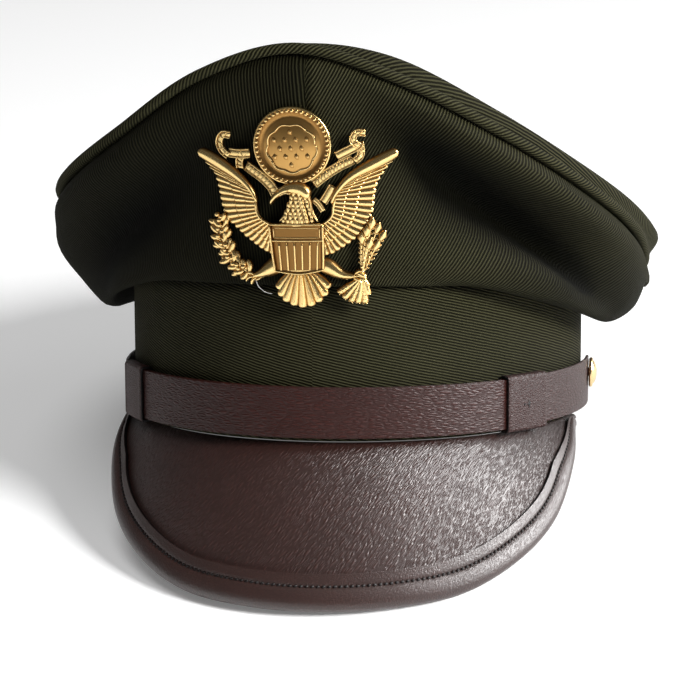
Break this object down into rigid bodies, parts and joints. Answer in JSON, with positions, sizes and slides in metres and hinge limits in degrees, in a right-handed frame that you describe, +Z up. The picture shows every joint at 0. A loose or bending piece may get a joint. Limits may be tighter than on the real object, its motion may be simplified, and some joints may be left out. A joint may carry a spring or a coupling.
{
  "type": "officer's peaked cap",
  "caption": "Peaked service cap: raised soft cloth crown on an oval band, leather peak with folded binding, chin strap, side buttons and a pierced eagle badge.",
  "frame": {"origin": "middle of the bottom of the cap's box, on the surface that it rests on", "axes": "-Y to the front of the cap, +X to the wearer's left, +Z up; the cap rests on its peak's edge and the back of its band, tipped back about 12 degrees"},
  "size_m": [0.2304, 0.2862, 0.1852],
  "materials": {
    "cap_band": "dark olive drab wool serge",
    "crown_side_left": "dark olive drab wool serge",
    "crown_side_right": "dark olive drab wool serge",
    "crown_top": "dark olive drab wool serge",
    "crown_welt": "dark olive drab wool serge",
    "peak": "dark brown grained leather with a soft shine",
    "peak_binding": "dark brown grained leather with a soft shine",
    "chin_strap_outer": "dark brown grained leather with a soft shine",
    "chin_strap_inner": "dark brown grained leather with a soft shine",
    "strap_keeper_left": "dark brown grained leather with a soft shine",
    "strap_keeper_right": "dark brown grained leather with a soft shine",
    "side_button_left": "satin gilt brass",
    "side_button_right": "satin gilt brass",
    "badge": "satin gilt brass",
    "badge_nut": "satin gilt brass"
  },
  "bodies": {
    "root": {"cap_band": "cap_band", "crown_side_left": "crown_side_left", "crown_side_right": "crown_side_right", "crown_top": "crown_top", "crown_welt": "crown_welt", "peak": "peak", "peak_binding": "peak_binding", "chin_strap_outer": "chin_strap_outer", "chin_strap_inner": "chin_strap_inner", "strap_keeper_left": "strap_keeper_left", "strap_keeper_right": "strap_keeper_right", "side_button_left": "side_button_left", "side_button_right": "side_button_right", "badge": "badge", "badge_nut": "badge_nut"}
  },
  "joints": []
}
